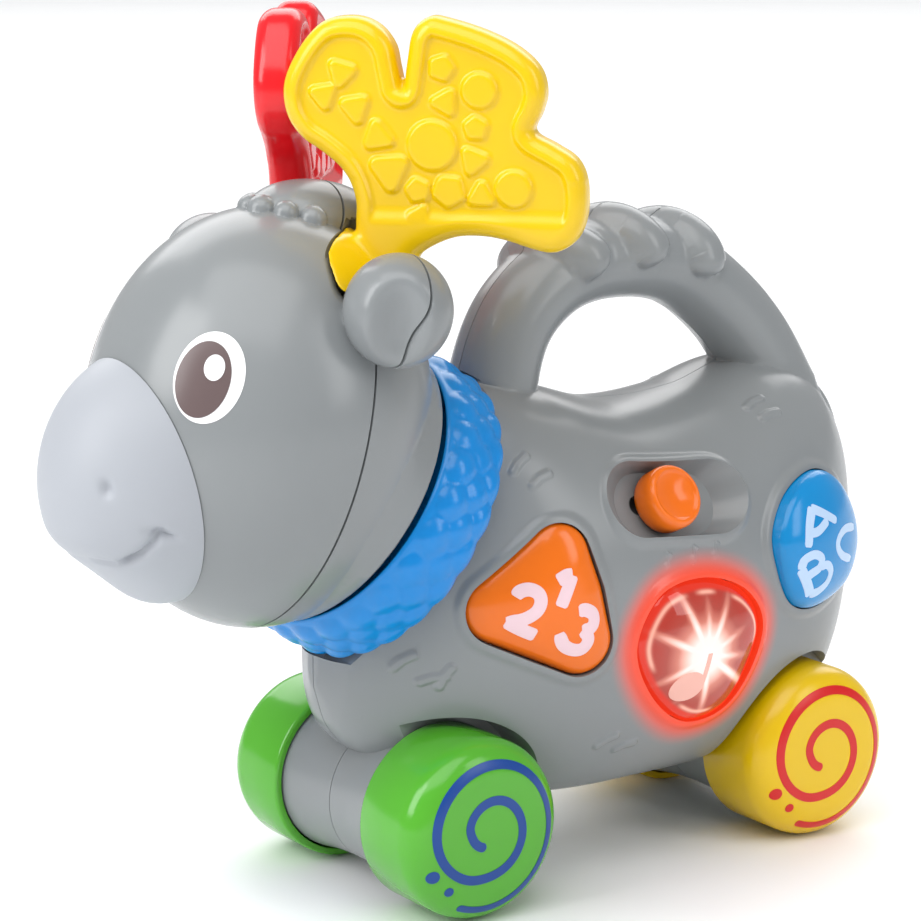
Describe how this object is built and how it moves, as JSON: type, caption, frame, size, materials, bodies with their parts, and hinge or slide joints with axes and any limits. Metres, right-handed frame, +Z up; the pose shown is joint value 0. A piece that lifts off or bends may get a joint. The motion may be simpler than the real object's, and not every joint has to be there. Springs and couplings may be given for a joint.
{
  "type": "wheeled toy deer",
  "caption": "Push-along plastic toy moose on cup wheels, with a loop grip over its back, rocking antlers, a turning bumpy collar, press buttons on its flank and a sliding switch.",
  "frame": {"origin": "on the floor under the middle of the toy's box", "axes": "the toy faces -X, its left flank with the buttons looks along -Y, +Z is up"},
  "size_m": [0.2852, 0.1382, 0.2601],
  "materials": {
    "grey_abs": "glossy grey ABS",
    "pale_grey_soft": "matte pale grey",
    "blue_plastic": "glossy blue",
    "orange_plastic": "glossy orange",
    "red_lens": "clear red lens",
    "sky_plastic": "glossy sky blue",
    "yellow_plastic": "glossy yellow",
    "red_plastic": "glossy red",
    "green_plastic": "glossy green",
    "steel": "bright steel",
    "dark_plastic": "black plastic",
    "board_green": "circuit board",
    "cell_wrap": "plain cell wrap",
    "white_nylon": "white nylon",
    "pad_rubber": "grey rubber",
    "lamp_epoxy": "clear lamp body",
    "cone_paper": "black cone"
  },
  "bodies": {
    "toy_body": {"antler_pin_left": "steel", "antler_pin_right": "steel", "axle_bush_front_left": "white_nylon", "axle_bush_front_right": "white_nylon", "axle_bush_rear_left": "white_nylon", "axle_bush_rear_right": "white_nylon", "battery_cell_1": "cell_wrap", "battery_cell_2": "cell_wrap", "battery_cell_3": "cell_wrap", "battery_contact_front": "steel", "battery_contact_rear": "steel", "battery_door": "grey_abs", "battery_door_screw": "steel", "battery_tray": "dark_plastic", "body_screw_1": "steel", "body_screw_2": "steel", "body_screw_3": "steel", "body_screw_4": "steel", "body_screw_5": "steel", "body_shell_left": "grey_abs", "body_shell_right": "grey_abs", "head_screw_1": "steel", "head_screw_2": "steel", "head_screw_3": "steel", "head_shell_front": "grey_abs", "head_shell_rear": "grey_abs", "lamp_led": "lamp_epoxy", "lamp_switch_board": "board_green", "letter_switch_board": "board_green", "letter_switch_pad": "pad_rubber", "main_board": "board_green", "muzzle": "pale_grey_soft", "neck_bolt": "steel", "neck_nut": "steel", "neck_spool": "dark_plastic", "number_switch_board": "board_green", "number_switch_pad": "pad_rubber", "slide_switch": "dark_plastic", "sound_chip": "dark_plastic", "speaker": "steel", "speaker_cone": "cone_paper"},
    "front_wheels": {"wheel_front_left": "green_plastic", "wheel_front_right": "green_plastic", "axle_front": "steel"},
    "rear_wheels": {"wheel_rear_left": "yellow_plastic", "wheel_rear_right": "yellow_plastic", "axle_rear": "steel"},
    "collar_ring": {"collar": "blue_plastic"},
    "left_antler": {"antler_left": "yellow_plastic"},
    "right_antler": {"antler_right": "red_plastic"},
    "number_key": {"number_button": "orange_plastic"},
    "letter_key": {"letter_button": "sky_plastic"},
    "lamp_key": {"lamp_button": "red_lens"},
    "volume_knob": {"volume_slider": "orange_plastic", "slider_clip": "dark_plastic"}
  },
  "joints": [
    {"name": "front_wheels_roll", "type": "hinge", "parent": "toy_body", "child": "front_wheels", "pos_m": [-0.03044, 0, 0.027], "axis": [0, -1, 0], "continuous": true},
    {"name": "rear_wheels_roll", "type": "hinge", "parent": "toy_body", "child": "rear_wheels", "pos_m": [0.09836, 0, 0.027], "axis": [0, -1, 0], "continuous": true},
    {"name": "collar_turn", "type": "hinge", "parent": "toy_body", "child": "collar_ring", "pos_m": [-0.03654, 0, 0.116], "axis": [-0.8415, 0, 0.5402], "continuous": true},
    {"name": "left_antler_rock", "type": "hinge", "parent": "toy_body", "child": "left_antler", "pos_m": [-0.05275, -0.01786, 0.1871], "axis": [0.743, 0.669, 0.0175], "range_deg": [0, 12]},
    {"name": "right_antler_rock", "type": "hinge", "parent": "toy_body", "child": "right_antler", "pos_m": [-0.05275, 0.01786, 0.1871], "axis": [-0.743, 0.669, -0.0175], "range_deg": [0, 12]},
    {"name": "number_press", "type": "slide", "parent": "toy_body", "child": "number_key", "axis": [0.2831, 0.9587, -0.0269], "range_m": [0, 0.0025], "stiffness_N_per_m": 400, "springref_m": -0.002},
    {"name": "letter_press", "type": "slide", "parent": "toy_body", "child": "letter_key", "axis": [-0.3397, 0.9392, -0.0503], "range_m": [0, 0.0025], "stiffness_N_per_m": 400, "springref_m": -0.002},
    {"name": "lamp_press", "type": "slide", "parent": "toy_body", "child": "lamp_key", "axis": [-0.0264, 0.9986, 0.0457], "range_m": [0, 0.0025], "stiffness_N_per_m": 400, "springref_m": -0.002},
    {"name": "volume_slide", "type": "slide", "parent": "toy_body", "child": "volume_knob", "axis": [0.9949, 0.0143, -0.0999], "range_m": [-0.007, 0.013]}
  ]
}
